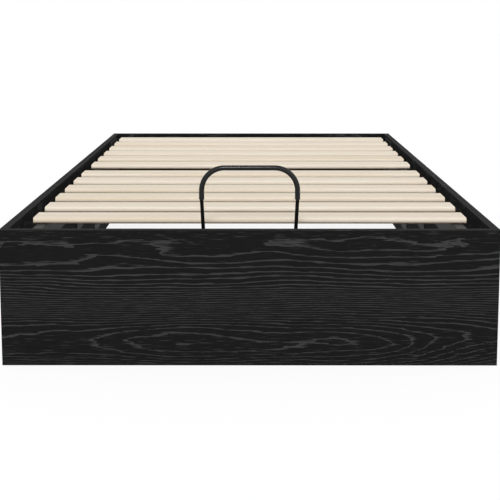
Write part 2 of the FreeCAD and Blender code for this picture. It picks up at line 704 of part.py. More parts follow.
def handle_path(body, label, leg):
    """Sketch of the handle's line: up the left leg, over the top and down the right leg.

    A leg is a list of distances out from the middle and heights, from its foot up to its bend. The
    sketch starts one grip spacing to the left of the middle, so that all measures in it are positive.
    """
    path = sketch_on(body, f"{label}_path", "XZ_Plane")
    count = len(leg)
    left = [FreeCAD.Vector(1, row + 1, 0) for row in range(count)]
    right = [FreeCAD.Vector(4, row + 1, 0) for row in reversed(range(count))]
    lines = list(zip(left, left[1:]))
    lines.append((FreeCAD.Vector(2, count + 1, 0), FreeCAD.Vector(3, count + 1, 0)))
    lines += zip(right, right[1:])
    for start, end in lines:
        path.addGeometry(Part.LineSegment(start, end))
    top = count - 1
    bends = []
    for centre_x, first in ((2, QUARTER_TURN), (3, 0)):
        circle = Part.Circle(FreeCAD.Vector(centre_x, count, 0), FreeCAD.Vector(0, 0, 1), 1)
        limits = [math.radians(first), math.radians(first + QUARTER_TURN)]
        bends.append(path.addGeometry(Part.ArcOfCircle(circle, *limits)))
    for line in [*range(top - 1), *range(top + 1, 2 * top)]:
        path.addConstraint(Sketcher.Constraint("Coincident", line, 2, line + 1, 1))
    for bend, leg_line, leg_end, top_end in ((bends[0], top - 1, 2, 1), (bends[1], top + 1, 1, 2)):
        path.addConstraint(Sketcher.Constraint("Coincident", bend, 3 - top_end, leg_line, leg_end))
        path.addConstraint(Sketcher.Constraint("Coincident", bend, top_end, top, top_end))
    straight = "(handle_grip_spacing / 2 - handle_corner_radius)"
    places = [(row, 1, f"(-{x})", z) for row, (x, z) in enumerate(leg[:-1])]
    places += [(top - 1, 2, f"(-{leg[-1][0]})", leg[-1][1]), (top + 1, 1, *leg[-1])]
    places += [(2 * top - row, 2, x, z) for row, (x, z) in enumerate(leg[:-1])]
    places += [(top, 1, f"(-{straight})", HANDLE_TOP), (top, 2, straight, HANDLE_TOP)]
    for line, end, x, z in places:
        point = path.getPoint(line, end)
        dimension(path, f"handle_grip_spacing + {x}", "DistanceX", -1, 1, line, end, drawn=point.x)
        dimension(path, z, "DistanceY", -1, 1, line, end, drawn=point.y)
    for bend, x in zip(bends, (f"(-{straight})", straight)):
        point = path.getPoint(bend, 3)
        dimension(path, f"handle_grip_spacing + {x}", "DistanceX", -1, 1, bend, 3, drawn=point.x)
    return path


def handle_pipe(label, leg, radii):
    """Bent round bar along the handle's line, or a tube where it has two radii."""
    body = doc.addObject("PartDesign::Body", label)
    path = handle_path(body, label, leg)
    foot_x, foot_z = leg[0]
    section = sketch_on(body, f"{label}_section", "XY_Plane")
    section.setExpression("AttachmentOffset.Base.z", in_cells(foot_z))
    for circle, radius in enumerate(radii):
        drawn = 1 / (circle + 1)
        section.addGeometry(Part.Circle(FreeCAD.Vector(1, 0, 0), FreeCAD.Vector(0, 0, 1), drawn))
        section.addConstraint(Sketcher.Constraint("PointOnObject", circle, 3, -1))
        dimension(section, f"handle_grip_spacing - {foot_x}", "DistanceX", -1, 1, circle, 3)
        dimension(section, radius, "Radius", circle, drawn=drawn)
    doc.recompute()
    pipe = body.newObject("PartDesign::AdditivePipe", f"{label}_pipe")
    pipe.Profile = section
    pipe.Spine = (path, [f"Edge{number}" for number in range(1, path.GeometryCount + 1)])
    pipe.Transition = "Right corner"
    place(body, "-handle_grip_spacing", HANDLE_Y, "0")
    node(body)


def make_handle():
    """Lifting handle through the front cross tube: bent rod, grip sleeve and nuts."""
    upper = [
        ("handle_grip_spacing / 2", f"({GRIP_BEND} - grip_leg_length)"),
        ("handle_grip_spacing / 2", GRIP_BEND),
    ]
    lower = [
        ("handle_foot_spacing / 2", f"({TUBE_LOW} - handle_tail)"),
        ("handle_foot_spacing / 2", f"({TUBE_TOP} + handle_nut_height + handle_crank_gap)"),
    ]
    handle_pipe("handle_rod", lower + upper, ["handle_radius"])
    handle_pipe("handle_grip", upper, ["grip_radius", "handle_radius + fit_gap"])
    nuts = []
    for side_name, side in SIDES.items():
        centre = (spot(side, "handle_foot_spacing / 2"), HANDLE_Y)
        for name, limits in (
                ("lower", run(TUBE_LOW, -1, "handle_nut_height")),
                ("upper", run(TUBE_TOP, 1, "handle_nut_height"))):
            nuts.append(hex_nut(
                f"handle_nut_{name}_{side_name}", "z", limits, centre,
                "handle_nut_radius", "handle_radius"))
    node(group("handle_nuts", nuts))


def write_parts():
    doc.recompute()
    for item in doc.Objects:
        if {"Invalid", "Error"} & set(item.State):
            raise RuntimeError(f"{item.Label} failed: {item.State}")
    for label, item in nodes.items():
        if item.Shape.isNull() or not item.Shape.isValid():
            raise RuntimeError(f"{label} has no valid shape")
    os.makedirs("parts", exist_ok=True)
    for label, item in nodes.items():
        item.Shape.exportStep(f"parts/{label}.step")
        print(f"{label}: {len(item.Shape.Solids)} solids, {item.Shape.Volume:.1f} mm3")


fill_sheet()
board_holes = make_corner_brackets()
make_frame_rests(board_holes)
make_hinge_plates(board_holes)
make_panels(board_holes)
tube_holes = make_slats()
make_joint_plates(tube_holes)
make_tube_frame(tube_holes)
make_hinge_arms()
make_struts()
make_handle()
write_parts()
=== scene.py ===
import math
import bpy
from mathutils import Matrix, Vector


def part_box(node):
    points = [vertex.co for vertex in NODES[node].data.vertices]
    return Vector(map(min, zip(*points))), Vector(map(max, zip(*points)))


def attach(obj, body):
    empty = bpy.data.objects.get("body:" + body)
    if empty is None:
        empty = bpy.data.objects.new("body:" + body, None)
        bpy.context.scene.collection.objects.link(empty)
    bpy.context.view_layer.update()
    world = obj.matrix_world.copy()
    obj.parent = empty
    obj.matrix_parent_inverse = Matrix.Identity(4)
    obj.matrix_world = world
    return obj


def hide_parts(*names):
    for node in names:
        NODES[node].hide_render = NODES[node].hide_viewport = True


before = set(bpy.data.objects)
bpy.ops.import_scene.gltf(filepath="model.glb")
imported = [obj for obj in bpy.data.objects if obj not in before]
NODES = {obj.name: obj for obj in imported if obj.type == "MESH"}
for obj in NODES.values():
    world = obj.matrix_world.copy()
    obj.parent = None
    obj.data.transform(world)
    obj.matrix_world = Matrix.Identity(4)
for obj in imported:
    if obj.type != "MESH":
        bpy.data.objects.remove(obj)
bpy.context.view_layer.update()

bl_info = {
    "name": "Ottoman Bed",
    "version": (1, 0, 0),
    "blender": (4, 5, 0),
    "location": "3D View > Sidebar > Ottoman Bed",
    "description": "Finishes and small fittings of a lift-up slatted bed with black oak boards",
    "category": "Object",
}

MM = 0.001
QUARTER = math.radians(90)
UP, DOWN = (0, 0, 1), (0, 0, -1)
SIDES = {"left": -1, "right": 1}
ENDS = {"front": -1, "rear": 1}
SLATS = [f"slat_{number:02d}" for number in range(1, 13)]
SLAT_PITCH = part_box("slat_12")[0][1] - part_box("slat_11")[0][1]


def corners(node):
    """Lower and upper corner of a CAD node in millimetres."""
    return [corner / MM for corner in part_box(node)]


def node_middle(node):
    return sum(corners(node), Vector()) / 2


# Faces and middle lines in millimetres, from the middle of the bed and from the floor
RAIL_IN, RAIL_OUT = [corner.x for corner in corners("rear_right_rail")]
TUBE_LOW, TUBE_TOP = [corner.z for corner in corners("rear_right_rail")]
RAIL_END = corners("rear_right_rail")[1].y
RAIL_X, TUBE_MID = node_middle("rear_right_rail").xz
END_TUBE_Y = node_middle("rear_cross_tube").y
BOARD_X = corners("right_side_panel")[0].x
BOARD_Y = corners("back_panel")[0].y
LOWER_PIN_Y, LOWER_PIN_Z = node_middle("strut_lower_pins").yz
SIDE_REST_Y = node_middle("frame_rest_right").y
FRONT_REST_X = 250


def linear(code):
    """Linear red, green and blue of an sRGB hex colour."""
    parts = [int(code[start:start + 2], 16) / 255 for start in (1, 3, 5)]
    return [part / 12.92 if part <= 0.04045 else ((part + 0.055) / 1.055) ** 2.4 for part in parts]


def colour(name, description, code):
    """Colour that a user can change."""
    return bpy.props.FloatVectorProperty(
        name=name, description=description, default=linear(code), subtype="COLOR", min=0, max=1)


def length(name, description, millimetres):
    """Length that a user can change."""
    return bpy.props.FloatProperty(
        name=name, description=description, default=millimetres * MM, min=0, unit="LENGTH")


class BedFinishes(bpy.types.PropertyGroup):
    """Colours that a user would change."""

    oak_ground: colour("Oak ground", "Dark ground of the printed oak foil", "#161616")
    oak_line: colour("Oak line", "Pore lines of the printed oak foil", "#383838")
    slat_pale: colour("Slat pale", "Pale wood of the slats", "#EADFCF")
    slat_warm: colour("Slat warm", "Warmer fibres of the slats", "#DFD0B9")
    # The dark colour of the slats' edges is partly the cross veneer's and partly painted shade
    slat_core_and_shade: colour("Slat core", "Cross veneer in the edges of the slats", "#8E7354")
    frame_coat: colour("Frame coat", "Powder coat of the tube frame", "#303030")
    bracket_coat: colour("Bracket coat", "Powder coat of the brackets and hinge plates", "#1C1C1C")
    strut_coat: colour("Strut coat", "Paint of the gas strut cylinders", "#121212")
    zinc: colour("Zinc", "Zinc plate of screws, pins and nuts", "#B4B5B3")
    zinc_blue: colour("Zinc tinge", "Bluish tinge of the passivated zinc", "#9DA3AB")
    chrome: colour("Chrome", "Hard chrome of the strut rods", "#D5D6D8")
    rubber: colour("Rubber", "Pads under the closed frame", "#1B1B1B")
    plastic: colour("Plastic", "Moulded caps and bushes", "#1A1A1B")
    grip: colour("Grip", "Sleeve of the lifting handle", "#050505")
    rod_paint: colour("Rod paint", "Paint of the handle's rod", "#060606")


class BedFittings(bpy.types.PropertyGroup):
    """Sizes of the small fittings that a user would change."""

    board_screw_head: length("Board screw head", "Head radius of the screws in the boards", 4)
    board_screw_height: length("Board screw height", "Head height of the screws in the boards", 2)
    slat_screw_head: length("Slat screw head", "Head radius of the slat screws", 4.5)
    slat_screw_height: length("Slat screw height", "Head height of the slat screws", 2.5)
    bolt_head: length("Bolt head", "Head radius of the joint bolts", 6.5)
    bolt_nut: length("Bolt nut", "Corner radius of the joint nuts", 7.5)
    handle_nut: length("Handle nut", "Corner radius of the handle's nuts", 6.5)
    grip_radius: length("Grip radius", "Outer radius of the handle's sleeve", 5)
    grip_bend: length("Grip bend", "Bend radius of the handle's corners", 43)
    corner_bead: length("Corner bead", "Radius of the weld beads in the frame's corners", 2.3)
    arm_bead: length("Arm bead", "Radius of the weld beads along the hinge arms", 1.6)
    pad_rib: length("Pad rib", "Height of the ribs on the rubber pads", 0.8)


class BedStage(bpy.types.PropertyGroup):
    """Camera and light."""

    camera_place: bpy.props.FloatVectorProperty(
        name="Camera place", description="Where the camera stands", subtype="TRANSLATION", unit="LENGTH",
        default=(0.0066, -3.398, 0.6497))
    camera_pitch: bpy.props.FloatProperty(
        name="Camera pitch", description="How far the camera looks down", subtype="ANGLE",
        default=math.radians(9.0834))
    camera_turn: bpy.props.FloatProperty(
        name="Camera turn", description="How far the camera looks to the left", subtype="ANGLE",
        default=0.00239)
    lens: bpy.props.FloatProperty(name="Lens", description="Focal length in millimetres", default=93.405)
    shift: bpy.props.FloatProperty(
        name="Shift", description="Small shift that keeps the boards' ends more upright", default=-0.05)
    floor_radius: bpy.props.FloatProperty(
        name="Floor radius", description="Radius of the floor", default=60, unit="LENGTH")
    sky: bpy.props.FloatProperty(
        name="Sky", description="Strength of the soft light all round", default=0.65)
    key: bpy.props.FloatProperty(
        name="Key", description="Strength of the light from above", default=0.95)
    fill: bpy.props.FloatProperty(
        name="Fill", description="Strength of the light from the foot", default=1.15)


def first_output(node):
    return next(output for output in node.outputs if output.enabled)


def add(tree, kind, inputs=None, **settings):
    """Add a node with its settings, and give each named input a value or another node's output."""
    node = tree.nodes.new(kind)
    for name, value in settings.items():
        setattr(node, name, value)
    for socket, value in (inputs or {}).items():
        if isinstance(value, bpy.types.Node):
            value = first_output(value)
        if isinstance(value, bpy.types.NodeSocket):
            tree.links.new(value, node.inputs[socket])
        else:
            node.inputs[socket].default_value = value
    return node


def new_material(name, **shader):
    """Material whose shader has plain values on its own sockets; returns it, its tree and its shader."""
    material = bpy.data.materials.new(name)
    material.use_nodes = True
    tree = material.node_tree
    surface = tree.nodes["Principled BSDF"]
    for socket, value in shader.items():
        surface.inputs[socket.replace("_", " ")].default_value = value
    return material, tree, surface


def link(tree, surface, **sources):
    """Link nodes to sockets of the shader."""
    for socket, node in sources.items():
        tree.links.new(first_output(node), surface.inputs[socket.replace("_", " ")])


def rgba(values):
    return (*values, 1)


def black_oak_foil(name, turn, start, middle):
    """Chipboard with a printed and embossed oak foil.

    The eye sees a near-black ground with grey pore lines: close and even along the middle of the board,
    wide islands and pointed flames near its long edges, and a painted highlight that makes the top paler,
    most along its arrises. turn sets the grain along the board, and middle is the distance of the board's
    middle from the bed's.
    """
    finishes = bpy.context.scene.bed_finishes
    material, tree, surface = new_material(name, Specular_IOR_Level=0.02)
    place = add(tree, "ShaderNodeTexCoord")
    board = add(tree, "ShaderNodeMapping", {
        "Vector": place.outputs["Object"], "Rotation": (0, 0, turn), "Location": (start, 0, 0)})
    split = add(tree, "ShaderNodeSeparateXYZ", {"Vector": board})
    height = split.outputs["Z"]
    # Rings lie 5.1 mm apart at a height of 145 mm, and turn back 96 mm above and below it
    wave = math.pi / 0.192
    swing = add(tree, "ShaderNodeMath", {0: height, 1: wave, 2: -0.145 * wave}, operation="MULTIPLY_ADD")
    sine = add(tree, "ShaderNodeMath", {0: swing}, operation="SINE")
    # The upper turn is wide and the lower one close
    lean = add(tree, "ShaderNodeMath", {0: sine, 1: -0.34, 2: 1.0}, operation="MULTIPLY_ADD")
    rings = add(tree, "ShaderNodeMath", {0: sine, 1: lean}, operation="MULTIPLY")
    # Long waves of 420 mm by 70 mm make the islands and flames
    long_place = add(tree, "ShaderNodeMapping", {"Vector": board, "Scale": (1 / 0.42, 1, 1 / 0.07)})
    long_wave = add(tree, "ShaderNodeTexNoise", {"Vector": long_place, "Scale": 1, "Detail": 1.5})
    # Short waves of 60 mm by 9 mm make the lines uneven
    short_place = add(tree, "ShaderNodeMapping", {"Vector": board, "Scale": (1 / 0.06, 1, 1 / 0.009)})
    short_wave = add(tree, "ShaderNodeTexNoise", {"Vector": short_place, "Scale": 1, "Detail": 2})
    bent = add(tree, "ShaderNodeMath", {0: long_wave, 1: 6.0}, operation="MULTIPLY")
    # A swell low on the board makes flames that point both ways: its top is 155 mm off the middle, and it
    # falls over 0.4 m on one side and 1.6 m on the other
    short_side, long_side = [
        add(tree, "ShaderNodeMath", {0: split.outputs["X"], 1: math.pi / reach, 2: -0.155 * math.pi / reach},
            operation="MULTIPLY_ADD")
        for reach in (0.4, 1.6)]
    along = add(tree, "ShaderNodeMath", {0: short_side, 1: long_side}, operation="MAXIMUM")
    swell = add(tree, "ShaderNodeMath", {0: along}, operation="COSINE")
    low_part = add(tree, "ShaderNodeMapRange", {
        "Value": height, "From Min": 0.03, "From Max": 0.15, "To Min": -3.4, "To Max": 0.0})
    flames = add(tree, "ShaderNodeMath", {0: swell, 1: low_part, 2: bent}, operation="MULTIPLY_ADD")
    rough = add(tree, "ShaderNodeMath", {0: short_wave, 1: 0.8, 2: flames}, operation="MULTIPLY_ADD")
    field = add(tree, "ShaderNodeMath", {0: rings, 1: 12.0, 2: rough}, operation="MULTIPLY_ADD")
    phase = add(tree, "ShaderNodeMath", {0: field}, operation="FRACT")
    # Each ring starts with a line about 2.5 mm wide, a smaller share of the ring where rings are wide
    slope = add(tree, "ShaderNodeMath", {0: swing}, operation="COSINE")
    share = add(tree, "ShaderNodeMapRange", {"Value": slope, "To Min": 0.22, "To Max": 0.5})
    fade = add(tree, "ShaderNodeMapRange", {
        "Value": phase, "From Min": 0.0, "From Max": share, "To Min": 1.0, "To Max": 0.0})
    # Pores are streaks of 36 mm by 1.6 mm, drawn wider than real ones so that they show
    pore_place = add(tree, "ShaderNodeMapping", {"Vector": board, "Scale": (1 / 0.036, 1 / 0.02, 1 / 0.0016)})
    pores = add(tree, "ShaderNodeTexNoise", {"Vector": pore_place, "Scale": 1, "Detail": 2})
    streak = add(tree, "ShaderNodeMapRange", {"Value": pores, "From Min": 0.34, "From Max": 0.66})
    # Wide lines are broken up by their pores more than close ones
    broken = add(tree, "ShaderNodeMapRange", {"Value": slope, "To Min": 1.0, "To Max": 0.4})
    spread = add(tree, "ShaderNodeMath", {0: streak, 1: 0.5}, operation="SUBTRACT")
    ragged = add(tree, "ShaderNodeMath", {0: spread, 1: broken, 2: fade}, operation="MULTIPLY_ADD")
    line = add(tree, "ShaderNodeMapRange", {"Value": ragged, "From Min": 0.34, "From Max": 0.62})
    faint = add(tree, "ShaderNodeMath", {0: streak, 1: 0.08, 2: line}, operation="MULTIPLY_ADD",
                use_clamp=True)
    # The top is painted paler as a painted highlight, brightest along the arrises: 1.2 mm there, drawn over
    # 2.3 mm so that it shows
    across = add(tree, "ShaderNodeMath", {0: split.outputs["Y"]}, operation="ABSOLUTE")
    depth = add(tree, "ShaderNodeMath", {0: across, 1: middle}, operation="SUBTRACT")
    edge = add(tree, "ShaderNodeMath", {0: depth}, operation="ABSOLUTE")
    arris_highlight = add(tree, "ShaderNodeMapRange", {
        "Value": edge, "From Min": 0.0055, "From Max": 0.0078, "To Min": 0.45, "To Max": 0.8})
    top = add(tree, "ShaderNodeMapRange", {"Value": height, "From Min": 0.2585, "From Max": 0.2598})
    painted_highlight = add(tree, "ShaderNodeMath", {0: arris_highlight, 1: top}, operation="MULTIPLY")
    # pale holds the pore lines and the painted highlight together
    pale = add(tree, "ShaderNodeMath", {0: faint, 1: painted_highlight}, operation="MAXIMUM")
    paint = add(tree, "ShaderNodeMix", {
        "Factor": pale, "A": rgba(finishes.oak_ground), "B": rgba(finishes.oak_line)}, data_type="RGBA")
    matt = add(tree, "ShaderNodeMapRange", {"Value": pale, "To Min": 0.72, "To Max": 0.84})
    # The foil is pressed in by 0.1 mm along its pores
    dent = add(tree, "ShaderNodeBump", {"Height": faint, "Strength": 0.25, "Distance": 0.0001}, invert=True)
    link(tree, surface, Base_Color=paint, Roughness=matt, Normal=dent)
    return material


def laminated_birch():
    """Slats pressed from birch veneers and sanded.

    The eye sees pale wood with long faint fibres, each slat a little different, and on the edges a darker
    cross veneer at the bottom, deepened by painted shade that darkens towards the bottom, and a thin glue
    line.
    """
    finishes = bpy.context.scene.bed_finishes
    material, tree, surface = new_material("laminated_birch", Specular_IOR_Level=0.2)
    place = add(tree, "ShaderNodeTexCoord").outputs["Object"]
    split = add(tree, "ShaderNodeSeparateXYZ", {"Vector": place})
    # Broad fibres of 600 mm by 14 mm and fine ones of 110 mm by 1.8 mm
    broad_place = add(tree, "ShaderNodeMapping", {
        "Vector": place, "Scale": (1 / 0.6, 1 / 0.014, 1 / 0.014)})
    broad = add(tree, "ShaderNodeTexNoise", {"Vector": broad_place, "Scale": 1, "Detail": 3})
    fine_place = add(tree, "ShaderNodeMapping", {
        "Vector": place, "Scale": (1 / 0.11, 1 / 0.0018, 1 / 0.0018)})
    fine = add(tree, "ShaderNodeTexNoise", {"Vector": fine_place, "Scale": 1, "Detail": 2})
    # Each slat has its own tone, from the number of its row
    distance = add(tree, "ShaderNodeMath", {0: split.outputs["Y"]}, operation="ABSOLUTE")
    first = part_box("slat_07")
    middle = (first[0][1] + first[1][1]) / 2
    rows = add(tree, "ShaderNodeMath", {0: distance, 1: 1 / SLAT_PITCH, 2: 0.5 - middle / SLAT_PITCH},
               operation="MULTIPLY_ADD")
    row = add(tree, "ShaderNodeMath", {0: rows}, operation="FLOOR")
    half = add(tree, "ShaderNodeMath", {0: split.outputs["Y"], 1: 0.0}, operation="GREATER_THAN")
    seed = add(tree, "ShaderNodeMath", {0: half, 1: 17.3, 2: row}, operation="MULTIPLY_ADD")
    tone = add(tree, "ShaderNodeTexWhiteNoise", {"W": seed}, noise_dimensions="1D")
    warm = add(tree, "ShaderNodeMapRange", {
        "Value": broad, "From Min": 0.36, "From Max": 0.66, "To Min": 0.0, "To Max": 0.75})
    warmer = add(tree, "ShaderNodeMath", {0: tone, 1: 0.3, 2: warm}, operation="MULTIPLY_ADD", use_clamp=True)
    wood = add(tree, "ShaderNodeMix", {
        "Factor": warmer, "A": rgba(finishes.slat_pale), "B": rgba(finishes.slat_warm)}, data_type="RGBA")
    grey = add(tree, "ShaderNodeMapRange", {
        "Value": fine, "From Min": 0.3, "From Max": 0.7, "To Min": 0.95, "To Max": 1.02})
    fibre = add(tree, "ShaderNodeMix", {"Factor": 1.0, "A": wood, "B": grey}, data_type="RGBA",
                blend_type="MULTIPLY")
    # Noses start 34.5 mm from the slat's middle, and its ends are cut square
    part = add(tree, "ShaderNodeMath", {0: rows}, operation="FRACT")
    off = add(tree, "ShaderNodeMath", {0: part, 1: 0.5}, operation="SUBTRACT")
    away = add(tree, "ShaderNodeMath", {0: off}, operation="ABSOLUTE")
    long_edge = add(tree, "ShaderNodeMath", {0: away, 1: 0.0345 / SLAT_PITCH}, operation="GREATER_THAN")
    out = add(tree, "ShaderNodeMath", {0: split.outputs["X"]}, operation="ABSOLUTE")
    end = add(tree, "ShaderNodeMath", {0: out, 1: first[1][0] - 0.0003}, operation="GREATER_THAN")
    rim = add(tree, "ShaderNodeMath", {0: long_edge, 1: end}, operation="MAXIMUM")
    # The cross veneer and painted shade darken the edges towards the bottom, fading from 1.2 to 4.5 mm over
    # the underside, and the glue line of 0.5 mm is 3.4 mm under the top
    veneer_and_shade = add(tree, "ShaderNodeMapRange", {
        "Value": split.outputs["Z"], "From Min": first[0][2] + 0.0012, "From Max": first[0][2] + 0.0045,
        "To Min": 0.9, "To Max": 0.0})
    glue = add(tree, "ShaderNodeMath", {
        0: split.outputs["Z"], 1: first[1][2] - 0.0034, 2: 0.00025}, operation="COMPARE")
    glue_veneer_and_shade = add(tree, "ShaderNodeMath", {0: glue, 1: 0.2, 2: veneer_and_shade}, operation="MULTIPLY_ADD", use_clamp=True)
    dark = add(tree, "ShaderNodeMath", {0: glue_veneer_and_shade, 1: rim}, operation="MULTIPLY")
    # The edges take a colour that is partly cross veneer and partly painted shade
    paint = add(tree, "ShaderNodeMix", {
        "Factor": dark, "A": fibre, "B": rgba(finishes.slat_core_and_shade)}, data_type="RGBA")
    matt = add(tree, "ShaderNodeMapRange", {"Value": fine, "To Min": 0.5, "To Max": 0.66})
    nap = add(tree, "ShaderNodeBump", {"Height": fine, "Strength": 0.12, "Distance": 0.0002})
    link(tree, surface, Base_Color=paint, Roughness=matt, Normal=nap)
    return material


def powder_coat(name, paint):
    """Powder paint baked on steel: satin, with a fine orange peel and a film of uneven depth."""
    material, tree, surface = new_material(name, Specular_IOR_Level=0.1)
    place = add(tree, "ShaderNodeTexCoord").outputs["Object"]
    # Peel of 1.2 mm is drawn at 3 mm so that it shows, and the film changes over 70 mm
    peel = add(tree, "ShaderNodeTexNoise", {"Vector": place, "Scale": 1 / 0.003, "Detail": 2})
    film = add(tree, "ShaderNodeTexNoise", {"Vector": place, "Scale": 1 / 0.07, "Detail": 3})
    depth = add(tree, "ShaderNodeMapRange", {
        "Value": film, "From Min": 0.3, "From Max": 0.7, "To Min": 0.86, "To Max": 1.12})
    tone = add(tree, "ShaderNodeMix", {"Factor": 1.0, "A": rgba(paint), "B": depth}, data_type="RGBA",
               blend_type="MULTIPLY")
    satin = add(tree, "ShaderNodeMapRange", {
        "Value": peel, "From Min": 0.3, "From Max": 0.7, "To Min": 0.48, "To Max": 0.62})
    dimple = add(tree, "ShaderNodeBump", {"Height": peel, "Strength": 0.18, "Distance": 0.0003})
    link(tree, surface, Base_Color=tone, Roughness=satin, Normal=dimple)
    return material


def bright_zinc():
    """Steel plated with zinc and passivated: pale grey metal with a bluish cloud and a soft shine."""
    finishes = bpy.context.scene.bed_finishes
    material, tree, surface = new_material("bright_zinc_plate", Metallic=1.0)
    place = add(tree, "ShaderNodeTexCoord").outputs["Object"]
    # Clouds of the plating bath, 6 mm, and its grain, 0.4 mm drawn at 1 mm so that it shows
    cloud = add(tree, "ShaderNodeTexNoise", {"Vector": place, "Scale": 1 / 0.006, "Detail": 2})
    grain = add(tree, "ShaderNodeTexNoise", {"Vector": place, "Scale": 1 / 0.001, "Detail": 1})
    tinge = add(tree, "ShaderNodeMapRange", {"Value": cloud, "From Min": 0.35, "From Max": 0.65})
    plate = add(tree, "ShaderNodeMix", {
        "Factor": tinge, "A": rgba(finishes.zinc), "B": rgba(finishes.zinc_blue)}, data_type="RGBA")
    shine = add(tree, "ShaderNodeMapRange", {"Value": grain, "To Min": 0.26, "To Max": 0.46})
    link(tree, surface, Base_Color=plate, Roughness=shine)
    return material


def hard_chrome():
    """Ground and chromed steel rod: a clear mirror with faint rings from grinding."""
    finishes = bpy.context.scene.bed_finishes
    material, tree, surface = new_material("hard_chrome_plate", Metallic=1.0)
    place = add(tree, "ShaderNodeTexCoord").outputs["Object"]
    # Grinding marks of 0.3 mm are drawn at 1.2 mm so that they show
    marks_place = add(tree, "ShaderNodeMapping", {
        "Vector": place, "Scale": (1 / 0.02, 1 / 0.0024, 1 / 0.0012)})
    marks = add(tree, "ShaderNodeTexNoise", {"Vector": marks_place, "Scale": 1, "Detail": 2})
    tone = add(tree, "ShaderNodeMapRange", {"Value": marks, "To Min": 0.9, "To Max": 1.0})
    plate = add(tree, "ShaderNodeMix", {"Factor": 1.0, "A": rgba(finishes.chrome), "B": tone},
                data_type="RGBA", blend_type="MULTIPLY")
    shine = add(tree, "ShaderNodeMapRange", {"Value": marks, "To Min": 0.08, "To Max": 0.2})
    link(tree, surface, Base_Color=plate, Roughness=shine)
    return material


def gloss_paint(name, paint, level):
    """Stoved black paint: deep and glossy, with a few dust nibs and a slight cloud in its gloss."""
    material, tree, surface = new_material(name, Specular_IOR_Level=level)
    place = add(tree, "ShaderNodeTexCoord").outputs["Object"]
    # Nibs of 0.5 mm stand about 5 mm apart, and the gloss clouds over 12 mm
    nibs = add(tree, "ShaderNodeTexVoronoi", {"Vector": place, "Scale": 1 / 0.005})
    cloud = add(tree, "ShaderNodeTexNoise", {"Vector": place, "Scale": 1 / 0.012, "Detail": 2})
    nib = add(tree, "ShaderNodeMapRange", {
        "Value": nibs.outputs["Distance"], "From Min": 0.05, "From Max": 0.14, "To Min": 1.0, "To Max": 0.0})
    depth = add(tree, "ShaderNodeMapRange", {"Value": cloud, "To Min": 0.8, "To Max": 1.3})
    tone = add(tree, "ShaderNodeMix", {"Factor": 1.0, "A": rgba(paint), "B": depth}, data_type="RGBA",
               blend_type="MULTIPLY")
    gloss = add(tree, "ShaderNodeMapRange", {"Value": cloud, "To Min": 0.24, "To Max": 0.4})
    rise = add(tree, "ShaderNodeBump", {"Height": nib, "Strength": 0.15, "Distance": 0.0002})
    link(tree, surface, Base_Color=tone, Roughness=gloss, Normal=rise)
    return material


def moulded(name, paint, roughness, level, grit):
    """Moulded rubber or plastic: even, matt or softly shining, with the mould's grit and paler scuffs."""
    material, tree, surface = new_material(name, Specular_IOR_Level=level)
    place = add(tree, "ShaderNodeTexCoord").outputs["Object"]
    skin = add(tree, "ShaderNodeTexNoise", {"Vector": place, "Scale": 1 / grit, "Detail": 3})
    # Scuffs are 15 mm clouds
    scuff = add(tree, "ShaderNodeTexNoise", {"Vector": place, "Scale": 1 / 0.015, "Detail": 4})
    pale = add(tree, "ShaderNodeMapRange", {
        "Value": scuff, "From Min": 0.4, "From Max": 0.75, "To Min": 0.9, "To Max": 1.5})
    tone = add(tree, "ShaderNodeMix", {"Factor": 1.0, "A": rgba(paint), "B": pale}, data_type="RGBA",
               blend_type="MULTIPLY")
    matt = add(tree, "ShaderNodeMapRange", {
        "Value": skin, "From Min": 0.3, "From Max": 0.7,
        "To Min": roughness - 0.06, "To Max": roughness + 0.06})
    grain = add(tree, "ShaderNodeBump", {"Height": skin, "Strength": 0.2, "Distance": 0.0002})
    link(tree, surface, Base_Color=tone, Roughness=matt, Normal=grain)
    return material


def ready(name, make, *values):
    """Material of that name, made the first time it is asked for."""
    return bpy.data.materials.get(name) or make(*values)


def zinc_plate():
    """Plating of the screws, bolts, nuts and pins."""
    return ready("bright_zinc_plate", bright_zinc)


def frame_paint():
    """Paint of the tube frame and its welds."""
    name = "powder_coat_frame"
    return ready(name, powder_coat, name, bpy.context.scene.bed_finishes.frame_coat)


def black_plastic():
    """Plastic of the end caps, bushes, strut guides and pistons."""
    name = "moulded_polypropylene"
    # A spark-eroded mould, whose grit of 0.3 mm is drawn at 0.8 mm so that it shows
    return ready(name, moulded, name, bpy.context.scene.bed_finishes.plastic, 0.5, 0.35, 0.0008)


def finish(material, *nodes):
    """Put one material on every slot of CAD nodes."""
    for node in nodes:
        mesh = NODES[node].data
        mesh.materials.clear()
        mesh.materials.append(material)


def choose(*pieces):
    """Select these objects alone, the first one active."""
    bpy.ops.object.select_all(action="DESELECT")
    for piece in pieces:
        piece.select_set(True)
    bpy.context.view_layer.objects.active = pieces[0]


def turned(sides, rings, hollow=False):
    """Piece on the z axis, drawn up ring by ring: each ring is the one before it, extruded and resized.

    Rings are pairs of height and radius in millimetres. A hollow piece is open through its middle and
    comes back to its first ring.
    """
    rings = [(height * MM, radius * MM) for height, radius in rings]
    bpy.ops.object.select_all(action="DESELECT")
    bpy.ops.mesh.primitive_circle_add(
        vertices=sides, radius=rings[0][1], fill_type="NOTHING" if hollow else "NGON")
    piece = bpy.context.object
    bpy.ops.object.mode_set(mode="EDIT")
    bpy.ops.mesh.select_mode(type="VERT")
    bpy.ops.mesh.select_all(action="SELECT")
    bpy.ops.transform.translate(value=(0, 0, rings[0][0]))
    for (low, before), (high, after) in zip(rings, rings[1:]):
        bpy.ops.mesh.extrude_region_move(TRANSFORM_OT_translate={"value": (0, 0, high - low)})
        bpy.ops.transform.resize(value=(after / before, after / before, 1), center_override=(0, 0, high))
    tidy_mesh()
    bpy.ops.object.mode_set(mode="OBJECT")
    return piece


